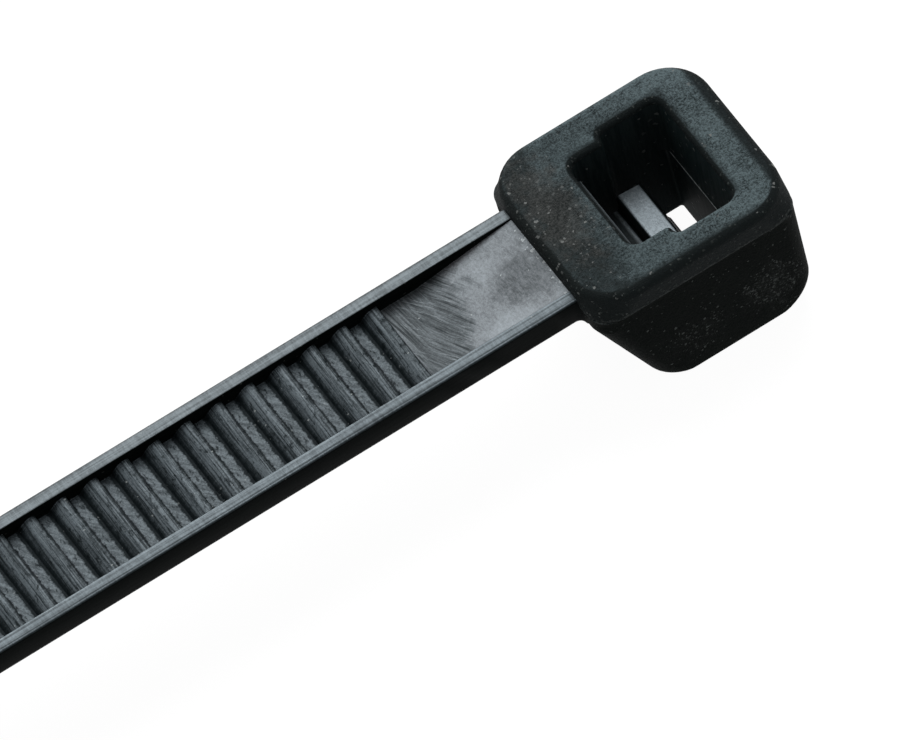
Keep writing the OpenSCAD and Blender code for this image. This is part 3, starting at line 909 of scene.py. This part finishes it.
def rack_finish():
    """The teeth: painted sheen on the polished floor and on the ramp, which is drawn across, and painted
    shade on the foot and crest, with torn edges.
    """
    mat, tree, shader, spot_at, axes, _ = start_finish("rack")
    along = calc(tree, "DIVIDE", calc(tree, "SUBTRACT", axes[0], FIRST_TOOTH_X), TOOTH_PITCH)
    torn = drag(tree, spot_at, 0, (1.5, 5, 1), 0.3)["Height"]
    part = calc(tree, "FRACT", calc(tree, "ADD", along, weigh(tree, torn, 0.2, -0.1)))
    sweep = drag(tree, spot_at, -0.6, (7, 1.2, 3), 0.7)
    # Painted sheen on the floor of each tooth
    floor = times(tree, band(tree, part, *FLOOR_SHEEN_PART), weigh(tree, sweep["Tone"], 0.5, 0.4))
    fine = drag(tree, spot_at, 0, (15, 0.35, 1), 0.06)
    cut = drag(tree, spot_at, 0.03, (21, 0.22, 1), 0.04)["Height"]
    # Painted sheen on each ramp, with its drawn lines
    ramp_lines_and_sheen = times(tree, band(tree, part, *RAMP_SHEEN_PART), weigh(tree, fine["Tone"], 0.95, 0.2),
                 fade(tree, cut, 0.38, 0.47, 0.25, 1.1))
    scar = drag(tree, spot_at, 0.1, (7, 2.5, 1), 0.4)["Height"]
    grain = place(tree, GRAIN, place=spot_at, size=0.07)["Tone"]
    # Outside the two bands the foot and the crest stay in painted shade
    level = times(tree, calc(tree, "ADD", calc(tree, "MAXIMUM", floor, ramp_lines_and_sheen), 0.08),
                  fade(tree, scar, 0.36, 0.46, 0.3, 1.1), weigh(tree, grain, 0.6, 0.72))
    colour = tint(tree, level, (0.0035, 0.0058, 0.0065), (0.05, 0.062, 0.07))
    colour = tint(tree, specks(tree, spot_at, 0.12, 0.4, 0.1), colour, (0.25, 0.27, 0.27))
    end_finish(tree, shader, colour, times(tree, level, 0.42), 0.42, fine["Height"], 0.01)
    return mat


def neck_finish():
    """The neck: satin near the head, with a fan of scratches before the first tooth."""
    mat, tree, shader, spot_at, axes, _ = start_finish("neck")
    cloud = patches(tree, spot_at, 1.3)
    satin = drag(tree, spot_at, -0.1, (9, 3.2, 3), 0.2)
    fan = drag(tree, spot_at, -0.45, (9, 0.35, 1), 0.12)
    cross = drag(tree, spot_at, -0.12, (11, 0.35, 1), 0.1)
    stray = drag(tree, spot_at, -0.62, (13, 0.45, 1), 0.1)["Height"]

    # The scratched part: cross lines by the first tooth, which give way to the fan
    front = weigh(tree, axes[1], -0.3, axes[0])
    ragged = weigh(tree, cloud, 0.9, weigh(tree, fan["Height"], 1.6, front))
    scratched = fade(tree, ragged, *SCRATCHED_X)
    further = fade(tree, weigh(tree, cloud, 0.8, front), *FAN_X)
    scratch = blend(tree, further, cross["Tone"], fan["Tone"])
    worn = weigh(tree, scratch, 0.5, weigh(tree, fade(tree, stray, 0.58, 0.66), 0.7, 0.14))

    # The satin part, with one darker place and two painted highlights
    smooth = weigh(tree, satin["Tone"], 0.26, weigh(tree, spot(tree, spot_at, *DARKER_PLACE), -0.42, 0.8))
    # Painted highlights on the satin
    for centre, size in NECK_HIGHLIGHTS:
        smooth = weigh(tree, spot(tree, spot_at, centre, size), 0.28, smooth)
    smooth = times(tree, smooth, fade(tree, axes[1], *NECK_TONE_Y, 0.95, 1.12))
    grain = place(tree, GRAIN, place=spot_at, size=0.08)["Tone"]
    level = times(tree, blend(tree, scratched, smooth, worn), weigh(tree, grain, 0.36, 0.84))
    light = tint(tree, rest_of(tree, scratched), (0.07, 0.075, 0.08), (0.079, 0.076, 0.081))
    colour = tint(tree, level, (0.008, 0.011, 0.012), light)

    # Dust, larger and thicker where the neck meets the head
    by_head = fade(tree, axes[0], *HEAD_DUST_X)
    dust = specks(tree, spot_at, 0.12, weigh(tree, by_head, 0.5, 0.35), weigh(tree, by_head, 0.6, 0.05))
    colour = tint(tree, dust, colour, (0.42, 0.44, 0.44))
    height = weigh(tree, fan["Height"], scratched, satin["Height"])
    end_finish(tree, shader, colour, times(tree, level, 0.68), 0.36, height, 0.008)
    return mat


def pawl_finish():
    """The pawl: painted highlight on its top, painted shade on its ledge and hinge, and a painted highlight
    along the ledge's edge.
    """
    mat, tree, shader, spot_at, axes, normal = start_finish("pawl")
    grain = place(tree, GRAIN, place=spot_at, size=0.12)
    # Painted light: bright where the pawl faces up, painted shade on its back shoulder and towards the far
    # side
    level = times(tree, fade(tree, normal[2], 0.8, 0.98), weigh(tree, grain["Tone"], 0.3, 0.75),
                  fade(tree, axes[0], *PAWL_BACK_SHADE_X, 0.06, 1), fade(tree, axes[1], *PAWL_FAR_SHADE_Y, 0.55, 1.08))
    # A painted highlight along the edge of the ledge
    ledge_x, ledge_z = POCKET_X + LEDGE_W, HEAD_H - LEDGE_D
    edge = times(tree, fade(tree, axes[0], ledge_x - 0.06, ledge_x - 0.02),
                 fade(tree, axes[2], ledge_z - 0.1, ledge_z - 0.05), 0.35)
    level = calc(tree, "MAXIMUM", level, edge)
    colour = tint(tree, level, (0.004, 0.006, 0.006), (0.12, 0.14, 0.155))
    end_finish(tree, shader, colour, weigh(tree, level, 0.9, 0.02), 0.4, grain["Height"], 0.01)
    return mat


for make in (collar_finish, body_finish, slot_finish, rail_finish,
             side_finish, rack_finish, neck_finish, pawl_finish):
    moulding.data.materials.append(make())


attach(moulding, "root")
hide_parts("tie")


# Floor, light and camera, in metres

WHITE = 0.96
FILL = 0.3
FLOOR_HALF = 4
SOFTBOX_SIZE = 0.42
SOFTBOX_POWER = 2.4
SOFTBOX_D = 0.5
SOFTBOX_AIM = (0.16, 0.5, 0.85)
LENS = 1200
SENSOR = 36

# The camera's directions follow the photograph's parallel edges
CAMERA_D = 0.994
CAMERA_TARGET = (-0.00903, -0.00256, 0.0062)
CAMERA_RIGHT = (0.8389, -0.5179, -0.1675)
CAMERA_BACK = (-0.1846, -0.5602, 0.8074)


def seen_directly(tree):
    """1 for what the camera sees itself, in a reflection or through a clear part."""
    path = node(tree, "LightPath")
    seen = calc(tree, "MAXIMUM", path.outputs["Is Camera Ray"], path.outputs["Is Glossy Ray"])
    return calc(tree, "MAXIMUM", seen, path.outputs["Is Transmission Ray"])


def make_floor():
    """A floor that glows white where it is seen directly, and throws little light on the part."""
    bm = bmesh.new()
    bmesh.ops.create_grid(bm, x_segments=1, y_segments=1, size=FLOOR_HALF)
    mesh = bpy.data.meshes.new("floor")
    bm.to_mesh(mesh)
    bm.free()
    mat = bpy.data.materials.new("floor_white")
    mat.use_nodes = True
    tree = mat.node_tree
    shader = tree.nodes["Principled BSDF"]
    for name, value in (("Base Color", (0.1, 0.1, 0.1, 1)), ("Roughness", 0.9),
                        ("Specular IOR Level", 0.0), ("Emission Color", (1, 1, 1, 1)),
                        ("Emission Strength", times(tree, seen_directly(tree), WHITE))):
        feed(tree, shader.inputs[name], value)
    mesh.materials.append(mat)
    link_object("floor", mesh)


def make_world():
    """Even light from all sides, and white behind the part."""
    world = bpy.data.worlds.new("studio")
    bpy.context.scene.world = world
    world.use_nodes = True
    tree = world.node_tree
    back = tree.nodes["Background"]
    back.inputs["Color"].default_value = (1, 1, 1, 1)
    feed(tree, back.inputs["Strength"], fade(tree, seen_directly(tree), 0, 1, FILL, WHITE))


def make_softbox():
    """One large soft light from above and behind."""
    light = bpy.data.lights.new("softbox", "AREA")
    light.shape = "SQUARE"
    light.size = SOFTBOX_SIZE
    light.energy = SOFTBOX_POWER
    lamp = link_object("softbox", light)
    aim = Vector(SOFTBOX_AIM).normalized()
    lamp.location = Vector((-0.005, 0, 0.005)) + aim * SOFTBOX_D
    lamp.rotation_euler = aim.to_track_quat("Z", "Y").to_euler()


def make_camera():
    """A very long lens, so that parallel edges stay parallel as in the photograph."""
    data = bpy.data.cameras.new("camera")
    data.lens = LENS
    data.sensor_width = SENSOR
    data.clip_start, data.clip_end = 0.05, 20
    camera = link_object("camera", data)
    back = Vector(CAMERA_BACK).normalized()
    up = back.cross(Vector(CAMERA_RIGHT).normalized()).normalized()
    turn = Matrix((up.cross(back), up, back)).transposed()
    target = Vector(CAMERA_TARGET)
    camera.matrix_world = Matrix.Translation(target + back * CAMERA_D) @ turn.to_4x4()
    bpy.context.scene.camera = camera


make_floor()
make_world()
make_softbox()
make_camera()
bpy.context.scene.view_settings.view_transform = "Standard"
